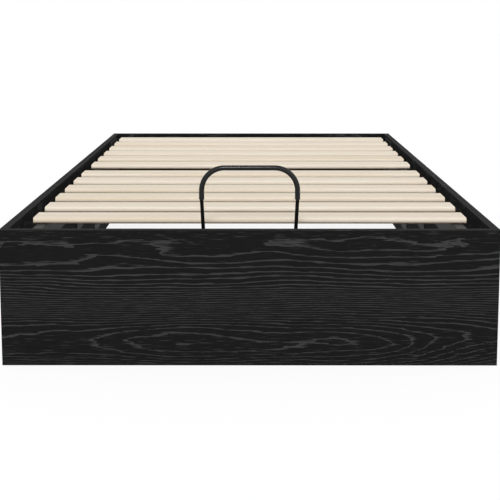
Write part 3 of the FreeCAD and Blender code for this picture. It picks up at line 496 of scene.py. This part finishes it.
def tidy_mesh():
    """Merge doubles and turn all faces outwards, in edit mode."""
    bpy.ops.mesh.select_all(action="SELECT")
    bpy.ops.mesh.remove_doubles(threshold=0.01 * MM)
    bpy.ops.mesh.normals_make_consistent(inside=False)


def recess(piece, cutter):
    """Cut one piece out of another and drop the cutter."""
    choose(piece)
    bpy.ops.object.modifier_add(type="BOOLEAN")
    modifier = piece.modifiers[-1]
    modifier.object = cutter
    modifier.solver = "EXACT"
    bpy.ops.object.modifier_apply(modifier=modifier.name)
    bpy.data.objects.remove(cutter)


def soften(piece, width, segments=2):
    """Round the sharp edges of a piece."""
    choose(piece)
    bpy.ops.object.modifier_add(type="BEVEL")
    modifier = piece.modifiers[-1]
    modifier.width = width * MM
    modifier.segments = segments
    modifier.limit_method = "ANGLE"
    modifier.angle_limit = math.radians(40)
    bpy.ops.object.modifier_apply(modifier=modifier.name)
    bpy.ops.object.mode_set(mode="EDIT")
    tidy_mesh()
    bpy.ops.object.mode_set(mode="OBJECT")


def pick_faces(piece, test):
    """Go to edit mode with only the faces selected whose middle and normal pass the test."""
    choose(piece)
    bpy.ops.object.mode_set(mode="EDIT")
    bpy.ops.mesh.select_mode(type="FACE")
    bpy.ops.mesh.select_all(action="DESELECT")
    bpy.ops.object.mode_set(mode="OBJECT")
    for face in piece.data.polygons:
        face.select = test(face.center, face.normal)
    bpy.ops.object.mode_set(mode="EDIT")


def joined(name, pieces):
    """Join pieces as one, with that name."""
    choose(*pieces)
    if len(pieces) > 1:
        bpy.ops.object.join()
    whole = bpy.context.object
    whole.name = name
    whole.data.name = name
    return whole


def copies(model, places, roll=0.0):
    """Copy a model to each place, its z axis along the direction given there.

    Places are in millimetres. roll turns each copy further about its own axis than the one before.
    """
    made = []
    for number, (spot, direction) in enumerate(places):
        choose(model)
        bpy.ops.object.duplicate(linked=False)
        copy = bpy.context.object
        turn = Vector(direction).to_track_quat("Z", "Y").to_matrix().to_4x4()
        copy.matrix_world = (
            Matrix.Translation(Vector(spot) * MM) @ turn @ Matrix.Rotation(number * roll, 4, "Z"))
        bpy.ops.object.transform_apply(location=True, rotation=True, scale=True)
        made.append(copy)
    return made


def settle(piece, body, slot, material, *nodes):
    """Shade a piece, give it its finish, and set it in the frame in place of CAD nodes."""
    choose(piece)
    bpy.ops.object.shade_smooth_by_angle(angle=math.radians(35))
    piece.data.materials.clear()
    piece.data.materials.append(material)
    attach(piece, body)
    if nodes:
        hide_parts(*nodes)


class BED_OT_boards(bpy.types.Operator):
    """Give the four boards their black oak foil"""

    bl_idname = "bed.boards"
    bl_label = "Boards"

    def execute(self, context):
        # Each board is cut from another stretch of the foil, which starts some metres further on
        for node, turn, start, axis in (
                ("front_panel", 0, 0.0, 1), ("back_panel", 0, 3.1, 1),
                ("left_side_panel", -QUARTER, 6.4, 0), ("right_side_panel", -QUARTER, 9.7, 0)):
            low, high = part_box(node)
            middle = abs(low[axis] + high[axis]) / 2
            finish(black_oak_foil(f"black_oak_foil_{node}", turn, start, middle), node)
        return {"FINISHED"}


class BED_OT_slats(bpy.types.Operator):
    """Give the twelve slats their birch"""

    bl_idname = "bed.slats"
    bl_label = "Slats"

    def execute(self, context):
        finish(laminated_birch(), *SLATS)
        return {"FINISHED"}


def weld_bead(radius, start, end, ripples):
    """Weld bead along the z axis, with a ripple every 1.5 mm from half a millimetre after its start."""
    swell = (0.82, 1.0)
    rings = [(start + 0.5 + 1.5 * step, radius * swell[step % 2]) for step in range(ripples)]
    return turned(10, [(start, radius * 0.4), *rings, (end, radius * 0.4)])


class BED_OT_tube_frame(bpy.types.Operator):
    """Paint the welded tube frame and lay its weld beads"""

    bl_idname = "bed.tube_frame"
    bl_label = "Tube frame"

    def execute(self, context):
        sizes = context.scene.bed_fittings
        coat = frame_paint()
        finish(coat, *[f"{end}_{side}_rail" for end in ENDS for side in SIDES],
               *[f"{end}_{kind}_tube" for end in ENDS for kind in ("cross", "middle")],
               *[f"{kind}_{side}" for kind in ("joint_plate", "hinge_arm") for side in SIDES])
        # Upright beads where the cross tubes meet the rails
        upright = weld_bead(sizes.corner_bead / MM, -17.5, 18, 24)
        faces = (corners("rear_middle_tube")[1].y, corners("rear_cross_tube")[0].y)
        beads = copies(upright, [
            ((RAIL_IN * side, y * end, TUBE_MID), UP)
            for side in SIDES.values() for end in ENDS.values() for y in faces])
        bpy.data.objects.remove(upright)
        # Three stitches along each edge of the hinge arms
        stitch = weld_bead(sizes.arm_bead / MM, -20, 20, 27)
        beads += copies(stitch, [
            ((RAIL_OUT * side, y, z), (0, 1, 0))
            for side in SIDES.values() for y in (700, 790, 870) for z in (TUBE_LOW + 2, TUBE_TOP - 2)])
        bpy.data.objects.remove(stitch)
        settle(joined("weld_beads", beads), "slat_frame", "painted_steel", coat)
        return {"FINISHED"}


class BED_OT_brackets(bpy.types.Operator):
    """Paint the corner brackets, frame rests and hinge plates"""

    bl_idname = "bed.brackets"
    bl_label = "Brackets"

    def execute(self, context):
        coat = powder_coat("powder_coat_brackets", context.scene.bed_finishes.bracket_coat)
        finish(coat, *[f"corner_bracket_{end}_{side}" for end in ENDS for side in SIDES],
               *[f"{kind}_{side}" for kind in ("frame_rest", "hinge_plate") for side in SIDES],
               "front_rest_brackets")
        return {"FINISHED"}


class BED_OT_pins(bpy.types.Operator):
    """Plate the hinge and strut pins and give the bushes their plastic"""

    bl_idname = "bed.pins"
    bl_label = "Pins and bushes"

    def execute(self, context):
        finish(zinc_plate(), "hinge_pins", "strut_lower_pins", "strut_upper_pins")
        finish(black_plastic(), "hinge_bushes")
        return {"FINISHED"}


class BED_OT_struts(bpy.types.Operator):
    """Make the gas strut cylinders with their rolled grooves, and finish the rods, guides and pistons"""

    bl_idname = "bed.struts"
    bl_label = "Gas struts"

    def execute(self, context):
        coat = gloss_paint("stoved_paint_strut", context.scene.bed_finishes.strut_coat, 0.3)
        chrome = hard_chrome()
        # Closed, a strut leans 30 degrees, and its tube ends 45 mm short of the upper pin at rail height
        upright = math.cos(math.radians(30))
        rim = (TUBE_MID - LOWER_PIN_Z) / upright - 45
        # Base, rolled groove, long tube, rolled groove at the guide, rim, and the bore back down
        tube = turned(40, [
            (6.2, 4.5), (17, 4.5), (18, 7.4), (19.6, 10), (27, 10), (27.8, 9.2), (29.4, 9.2), (30.2, 10),
            (rim - 12.6, 10), (rim - 11.8, 9.2), (rim - 10.2, 9.2), (rim - 9.4, 10), (rim - 1.2, 10),
            (rim - 0.3, 9.6), (rim, 9.1), (rim, 8.5), (22, 8.5)])
        eye = turned(32, [
            (-4.2, 4.05), (-5, 4.7), (-5, 7.2), (-4.2, 8), (4.2, 8), (5, 7.2), (5, 4.7), (4.2, 4.05),
            (-4.2, 4.05)], hollow=True)
        lying = copies(eye, [((0, 0, 0), (1, 0, 0))])
        bpy.data.objects.remove(eye)
        model = joined("strut_cylinder_model", [tube, *lying])
        # The tube has a radius of 10 mm
        strut_x = corners("strut_cylinder_right")[1].x - 10
        for side_name, side in SIDES.items():
            piece, = copies(model, [((strut_x * side, LOWER_PIN_Y, LOWER_PIN_Z), (0, -0.5, upright))])
            node = f"strut_cylinder_{side_name}"
            settle(joined(f"{node}_tube", [piece]), node, "strut_paint", coat, node)
            finish(chrome, f"strut_rod_{side_name}")
            finish(black_plastic(), f"strut_guide_{side_name}", f"strut_piston_{side_name}")
        bpy.data.objects.remove(model)
        return {"FINISHED"}


def pan_head_screw(head, height, shank_radius, shank):
    """Pan-head wood screw with a cross recess; its seat is at z = 0."""
    radius = shank_radius * 0.95
    screw = turned(24, [
        (-shank, radius * 0.3), (3 - shank, radius), (-0.1, radius), (-0.1, head * 0.94), (0.1, head),
        (height * 0.4, head), (height * 0.75, head * 0.9), (height, head * 0.6)])
    for turn in (0, QUARTER):
        bpy.ops.object.select_all(action="DESELECT")
        bpy.ops.mesh.primitive_cube_add(size=1, location=(0, 0, height * MM), rotation=(0, 0, turn))
        bar = bpy.context.object
        bar.scale = (head * 1.15 * MM, head * 0.24 * MM, height * 1.1 * MM)
        bpy.ops.object.transform_apply(location=True, rotation=True, scale=True)
        recess(screw, bar)
    return screw


class BED_OT_screws(bpy.types.Operator):
    """Make the cross-head screws of the brackets, rests, hinge plates and slats"""

    bl_idname = "bed.screws"
    bl_label = "Screws"

    def execute(self, context):
        sizes = context.scene.bed_fittings
        steel = zinc_plate()
        # Screws stand on the inner face of the steel: brackets of 2.5 mm, rests of 2 mm, plates of 3 mm
        bracket_low, bracket_high = corners("corner_bracket_rear_right")
        bracket_rows = (bracket_low.z + 40, bracket_high.z - 40)
        rest_low, rest_high = corners("frame_rest_right")
        rest_rows = (rest_low.z + 28, rest_high.z - 28)
        lip_low, lip_high = corners("front_rest_brackets")
        lip_rows = (lip_low.z + 20, lip_high.z - 30)
        plate_low, plate_high = corners("hinge_plate_right")
        plate_rows = (plate_low.z + 15, plate_high.z - 15)
        places = {"corner_screws": [], "rest_screws": [], "hinge_plate_screws": []}
        for side in SIDES.values():
            inwards = (-side, 0, 0)
            for end in ENDS.values():
                for z in bracket_rows:
                    places["corner_screws"] += [
                        (((BOARD_X - 30) * side, (BOARD_Y - 2.5) * end, z), (0, -end, 0)),
                        (((BOARD_X - 2.5) * side, (BOARD_Y - 30) * end, z), inwards)]
            places["rest_screws"] += [
                (((BOARD_X - 2) * side, y, z), inwards)
                for y in (SIDE_REST_Y - 40, SIDE_REST_Y + 40) for z in rest_rows]
            places["rest_screws"] += [((FRONT_REST_X * side, 2 - BOARD_Y, z), (0, 1, 0)) for z in lip_rows]
            places["hinge_plate_screws"] += [
                (((BOARD_X - 3) * side, y, z), inwards)
                for y in (plate_low.y + 15, plate_high.y - 15) for z in plate_rows]
        board_screw = pan_head_screw(sizes.board_screw_head / MM, sizes.board_screw_height / MM, 2, 13.5)
        for node, spots in places.items():
            piece = joined(f"{node}_cross_head", copies(board_screw, spots, roll=1.3))
            settle(piece, "bed_box", "zinc_steel", steel, node)
        bpy.data.objects.remove(board_screw)
        slat_screw = pan_head_screw(sizes.slat_screw_head / MM, sizes.slat_screw_height / MM, 2.2, 46)
        spots = [((RAIL_X * side, node_middle(slat).y, TUBE_LOW), DOWN)
                 for slat in SLATS for side in SIDES.values()]
        piece = joined("slat_screws_cross_head", copies(slat_screw, spots, roll=1.3))
        settle(piece, "slat_frame", "zinc_steel", steel, "slat_screws")
        bpy.data.objects.remove(slat_screw)
        return {"FINISHED"}


class BED_OT_joint_bolts(bpy.types.Operator):
    """Make the socket bolts and lock nuts that join the two halves of the frame"""

    bl_idname = "bed.joint_bolts"
    bl_label = "Joint bolts"

    def execute(self, context):
        sizes = context.scene.bed_fittings
        head, nut = sizes.bolt_head / MM, sizes.bolt_nut / MM
        bolt = turned(32, [
            (-31.5, 3.3), (-30.8, 3.9), (0, 3.9), (0, head * 0.96), (0.3, head), (1.4, head),
            (3.6, head * 0.86), (4.6, head * 0.66), (5, head * 0.56)])
        recess(bolt, turned(6, [(2.2, 2.9), (6, 2.9)]))
        # Hexagon with both ends chamfered and the collar of its nylon ring
        lock_nut = turned(6, [
            (-29.5, nut * 0.62), (-29.1, nut * 0.74), (-28.2, nut * 0.76), (-28.1, nut * 0.93),
            (-27.5, nut), (-23.6, nut), (-23, nut * 0.93)])
        model = joined("joint_bolt_model", [bolt, lock_nut])
        # Two bolts on each side of the joint, 22 mm apart, on the outer face of its plate
        face = corners("joint_plate_right")[1].x
        places = [((face * side, y, TUBE_MID), (side, 0, 0))
                  for side in SIDES.values() for y in (-60, -38, 38, 60)]
        piece = joined("joint_bolts_socket_head", copies(model, places, roll=0.9))
        settle(piece, "slat_frame", "zinc_steel", zinc_plate(), "joint_bolts")
        bpy.data.objects.remove(model)
        return {"FINISHED"}


def ribbed_pad(low, high, ribs, rib_height):
    """Rubber pad between two corners in millimetres, with ribs across its longer side."""
    size = [upper - lower for lower, upper in zip(low, high)]
    long_axis = 0 if size[0] > size[1] else 1
    cells = 2 * ribs + 1
    bpy.ops.object.select_all(action="DESELECT")
    bpy.ops.mesh.primitive_grid_add(
        size=1, x_subdivisions=cells if long_axis == 0 else 1, y_subdivisions=1 if long_axis == 0 else cells)
    pad = bpy.context.object
    middle = [(lower + upper) / 2 * MM for lower, upper in zip(low, high)]
    groove = high[2] * MM - rib_height
    pad.scale = (size[0] * MM, size[1] * MM, 1)
    pad.location = (middle[0], middle[1], groove)
    bpy.ops.object.transform_apply(location=True, rotation=True, scale=True)
    start, step = low[long_axis] * MM, size[long_axis] * MM / cells
    pick_faces(pad, lambda centre, normal: int((centre[long_axis] - start) / step) % 2 == 0)
    bpy.ops.mesh.extrude_region_move(TRANSFORM_OT_translate={"value": (0, 0, rib_height)})
    bpy.ops.mesh.select_all(action="SELECT")
    bpy.ops.mesh.extrude_region_move(TRANSFORM_OT_translate={"value": (0, 0, low[2] * MM - groove)})
    bpy.ops.transform.resize(value=(1, 1, 0), center_override=(0, 0, low[2] * MM))
    tidy_mesh()
    bpy.ops.object.mode_set(mode="OBJECT")
    soften(pad, 0.25)
    return pad


class BED_OT_rest_pads(bpy.types.Operator):
    """Make the ribbed rubber pads that the closed frame lies on"""

    bl_idname = "bed.rest_pads"
    bl_label = "Rest pads"

    def execute(self, context):
        finishes = context.scene.bed_finishes
        rib = context.scene.bed_fittings.pad_rib
        # Rubber from a ground mould, whose grit of 0.2 mm is drawn at 0.8 mm so that it shows
        rubber = moulded("moulded_rubber", finishes.rubber, 0.75, 0.25, 0.0008)
        # The side pads are 14 x 60 mm and end flush with the box of all pads, the front ones 48 x 18 mm
        low, high = corners("rest_pads")
        thickness = high.z - low.z
        side_pad = ribbed_pad((-7, -30, 0), (7, 30, thickness), 10, rib)
        front_pad = ribbed_pad((-24, -9, 0), (24, 9, thickness), 8, rib)
        pads = []
        for side in SIDES.values():
            pads += copies(side_pad, [(((high.x - 7) * side, SIDE_REST_Y, low.z), UP)])
            pads += copies(front_pad, [((FRONT_REST_X * side, -END_TUBE_Y, low.z), UP)])
        bpy.data.objects.remove(side_pad)
        bpy.data.objects.remove(front_pad)
        settle(joined("rest_pads_ribbed", pads), "bed_box", "pad_rubber", rubber, "rest_pads")
        return {"FINISHED"}


class BED_OT_end_caps(bpy.types.Operator):
    """Make the moulded caps in the ends of the rails"""

    bl_idname = "bed.end_caps"
    bl_label = "End caps"

    def execute(self, context):
        thickness = corners("tube_end_caps")[1].y - RAIL_END
        bpy.ops.object.select_all(action="DESELECT")
        bpy.ops.mesh.primitive_cube_add(size=1, location=(0, 0, thickness / 2 * MM))
        cap = context.object
        cap.scale = ((RAIL_OUT - RAIL_IN) * MM, (TUBE_TOP - TUBE_LOW) * MM, thickness * MM)
        bpy.ops.object.transform_apply(location=True, rotation=True, scale=True)
        # Sunk panel outside, and the plug that goes into the tube
        pick_faces(cap, lambda centre, normal: normal.z > 0.9)
        bpy.ops.mesh.inset(thickness=3.4 * MM)
        bpy.ops.mesh.inset(thickness=0.5 * MM, depth=-0.6 * MM)
        bpy.ops.object.mode_set(mode="OBJECT")
        pick_faces(cap, lambda centre, normal: normal.z < -0.9)
        bpy.ops.mesh.inset(thickness=1.8 * MM)
        bpy.ops.mesh.extrude_region_move(TRANSFORM_OT_translate={"value": (0, 0, -11 * MM)})
        bpy.ops.transform.resize(value=(0.94, 0.97, 1), center_override=(0, 0, -11 * MM))
        tidy_mesh()
        bpy.ops.object.mode_set(mode="OBJECT")
        soften(cap, 0.7, segments=3)
        caps = copies(cap, [
            ((RAIL_X * side, RAIL_END * end, TUBE_MID), (0, end, 0))
            for side in SIDES.values() for end in ENDS.values()])
        bpy.data.objects.remove(cap)
        settle(joined("tube_end_caps_moulded", caps), "slat_frame", "black_plastic", black_plastic(),
               "tube_end_caps")
        return {"FINISHED"}


def bent_run(start, end, y, foot, bend_z, bend):
    """Draw the selected ring up one leg, round two bends and down the other leg to the same height."""
    side = math.copysign(1, end - start)
    bends = (start + side * bend, end - side * bend)
    moves = ((0, 0, bend_z - foot), (bends[1] - bends[0], 0, 0))
    for move, bend_x in zip(moves, bends):
        bpy.ops.mesh.extrude_region_move(TRANSFORM_OT_translate={"value": move})
        bpy.ops.mesh.spin(steps=16, angle=-side * QUARTER, center=(bend_x, y, bend_z), axis=(0, 1, 0))
    bpy.ops.mesh.extrude_region_move(TRANSFORM_OT_translate={"value": (0, 0, foot - bend_z)})


class BED_OT_handle(bpy.types.Operator):
    """Make the handle's sleeve and nuts, and paint its rod"""

    bl_idname = "bed.handle"
    bl_label = "Handle"

    def execute(self, context):
        finishes, sizes = context.scene.bed_finishes, context.scene.bed_fittings
        finish(gloss_paint("stoved_paint_rod", finishes.rod_paint, 0.05), "handle_rod")
        # Soft PVC drawn from a polished die: its skin shines, and waves of 4 mm make the shine uneven
        sleeve = moulded("soft_pvc_sleeve", finishes.grip, 0.14, 0.26, 0.004)
        low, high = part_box("handle_grip")
        radius, bend = sizes.grip_radius, sizes.grip_bend
        leg_x, middle_y = low[0] + radius, (low[1] + high[1]) / 2
        bend_z = high[2] - radius - bend
        bore = 3.6 * MM
        lip = 0.7 * MM
        bpy.ops.object.select_all(action="DESELECT")
        bpy.ops.mesh.primitive_circle_add(vertices=28, radius=bore, location=(leg_x, middle_y, low[2]))
        grip = context.object
        bpy.ops.object.transform_apply(location=True)
        bpy.ops.object.mode_set(mode="EDIT")
        bpy.ops.mesh.select_mode(type="VERT")
        bpy.ops.mesh.select_all(action="SELECT")
        foot = (leg_x, middle_y, low[2])
        for rise, before, after in ((0, bore, radius - lip), (lip, radius - lip, radius)):
            bpy.ops.mesh.extrude_region_move(TRANSFORM_OT_translate={"value": (0, 0, rise)})
            bpy.ops.transform.resize(value=(after / before, after / before, 1), center_override=foot)
        bent_run(leg_x, -leg_x, middle_y, low[2] + lip, bend_z, bend)
        foot = (-leg_x, middle_y, low[2])
        for fall, before, after in ((-lip, radius, radius - lip), (0, radius - lip, bore)):
            bpy.ops.mesh.extrude_region_move(TRANSFORM_OT_translate={"value": (0, 0, fall)})
            bpy.ops.transform.resize(value=(after / before, after / before, 1), center_override=foot)
        # The bore goes back the same way to the first ring
        bent_run(-leg_x, leg_x, middle_y, low[2], bend_z, bend)
        tidy_mesh()
        bpy.ops.object.mode_set(mode="OBJECT")
        if abs(max(vertex.co.z for vertex in grip.data.vertices) - high[2]) > 0.2 * MM:
            raise RuntimeError("the sleeve doesn't reach the top of the handle")
        settle(joined("handle_sleeve", [grip]), "slat_frame", "grip_foam", sleeve, "handle_grip")
        corner = sizes.handle_nut / MM
        nut = turned(6, [(0, corner * 0.9), (0.6, corner), (4.3, corner), (5, corner * 0.9)])
        # The rod's feet stand 174.5 mm apart
        places = [((87.25 * side, -END_TUBE_Y, z), direction)
                  for side in SIDES.values() for z, direction in ((TUBE_TOP, UP), (TUBE_LOW, DOWN))]
        piece = joined("handle_nuts_chamfered", copies(nut, places, roll=0.4))
        settle(piece, "slat_frame", "zinc_steel", zinc_plate(), "handle_nuts")
        bpy.data.objects.remove(nut)
        return {"FINISHED"}


def seen_plainly(tree):
    """One for rays of the camera and for those that gloss and glass send on, nought for the rest."""
    rays = add(tree, "ShaderNodeLightPath")
    seen = add(tree, "ShaderNodeMath", {
        0: rays.outputs["Is Camera Ray"], 1: rays.outputs["Is Glossy Ray"]}, operation="MAXIMUM")
    return add(tree, "ShaderNodeMath", {0: seen, 1: rays.outputs["Is Transmission Ray"]}, operation="MAXIMUM")


class BED_OT_stage(bpy.types.Operator):
    """Make the pale floor, the soft light and the camera"""

    bl_idname = "bed.stage"
    bl_label = "Stage"

    def execute(self, context):
        scene = context.scene
        stage = scene.bed_stage
        scene.view_settings.view_transform = "Standard"
        bpy.ops.object.select_all(action="DESELECT")
        bpy.ops.mesh.primitive_circle_add(vertices=96, radius=stage.floor_radius, fill_type="NGON")
        floor = context.object
        floor.name = "studio_floor"
        material, tree, surface = new_material("pale_studio_floor", Roughness=0.9, Specular_IOR_Level=0.0)
        surface.inputs["Emission Color"].default_value = (1, 1, 1, 1)
        # Pale grey for the light it throws back; to the eye a white glow with a little of its own shade, so
        # that it stays white and keeps the bed's shadow
        seen = seen_plainly(tree)
        tone = add(tree, "ShaderNodeMapRange", {"Value": seen, "To Min": 0.8, "To Max": 0.15})
        glow = add(tree, "ShaderNodeMath", {0: seen, 1: 0.86}, operation="MULTIPLY")
        link(tree, surface, Base_Color=tone, Emission_Strength=glow)
        floor.data.materials.append(material)
        world = bpy.data.worlds.new("studio_sky")
        scene.world = world
        world.use_nodes = True
        tree = world.node_tree
        glow = add(tree, "ShaderNodeMapRange", {
            "Value": seen_plainly(tree), "To Min": stage.sky, "To Max": 1.0})
        sky = tree.nodes["Background"]
        sky.inputs["Color"].default_value = (1, 1, 1, 1)
        link(tree, sky, Strength=glow)
        # Lean from upright, turn and breadth of each light in degrees
        for name, strength, lean, turn, breadth in (
                ("key_light", stage.key, 56, -4, 11), ("fill_light", stage.fill, 72, 10, 80)):
            bpy.ops.object.light_add(
                type="SUN", rotation=(math.radians(lean), 0, math.radians(turn)), location=(0, -2, 3))
            lamp = context.object
            lamp.name = name
            lamp.data.energy = strength
            lamp.data.angle = math.radians(breadth)
        bpy.ops.object.camera_add(
            location=stage.camera_place,
            rotation=(QUARTER - stage.camera_pitch, 0, stage.camera_turn))
        camera = context.object
        camera.name = "photo_camera"
        camera.data.lens = stage.lens
        camera.data.sensor_width = 36
        camera.data.shift_y = stage.shift
        camera.data.clip_end = 200
        scene.camera = camera
        return {"FINISHED"}


class BED_PT_panel(bpy.types.Panel):
    """Lists the bed's pieces"""

    bl_idname = "BED_PT_panel"
    bl_label = "Ottoman Bed"
    bl_space_type = "VIEW_3D"
    bl_region_type = "UI"
    bl_category = "Ottoman Bed"

    def draw(self, context):
        for operator in OPERATORS:
            self.layout.operator(operator.bl_idname)


OPERATORS = (
    BED_OT_boards, BED_OT_slats, BED_OT_tube_frame, BED_OT_brackets, BED_OT_pins, BED_OT_struts,
    BED_OT_screws, BED_OT_joint_bolts, BED_OT_rest_pads, BED_OT_end_caps, BED_OT_handle, BED_OT_stage)
GROUPS = {"bed_finishes": BedFinishes, "bed_fittings": BedFittings, "bed_stage": BedStage}
CLASSES = (*GROUPS.values(), *OPERATORS, BED_PT_panel)


def register():
    for item in CLASSES:
        bpy.utils.register_class(item)
    for name, group in GROUPS.items():
        setattr(bpy.types.Scene, name, bpy.props.PointerProperty(type=group))


def unregister():
    for name in GROUPS:
        delattr(bpy.types.Scene, name)
    for item in reversed(CLASSES):
        bpy.utils.unregister_class(item)


def main():
    register()
    bpy.ops.bed.boards()
    bpy.ops.bed.slats()
    bpy.ops.bed.tube_frame()
    bpy.ops.bed.brackets()
    bpy.ops.bed.pins()
    bpy.ops.bed.struts()
    bpy.ops.bed.screws()
    bpy.ops.bed.joint_bolts()
    bpy.ops.bed.rest_pads()
    bpy.ops.bed.end_caps()
    bpy.ops.bed.handle()
    bpy.ops.bed.stage()


if __name__ == "__main__":
    main()
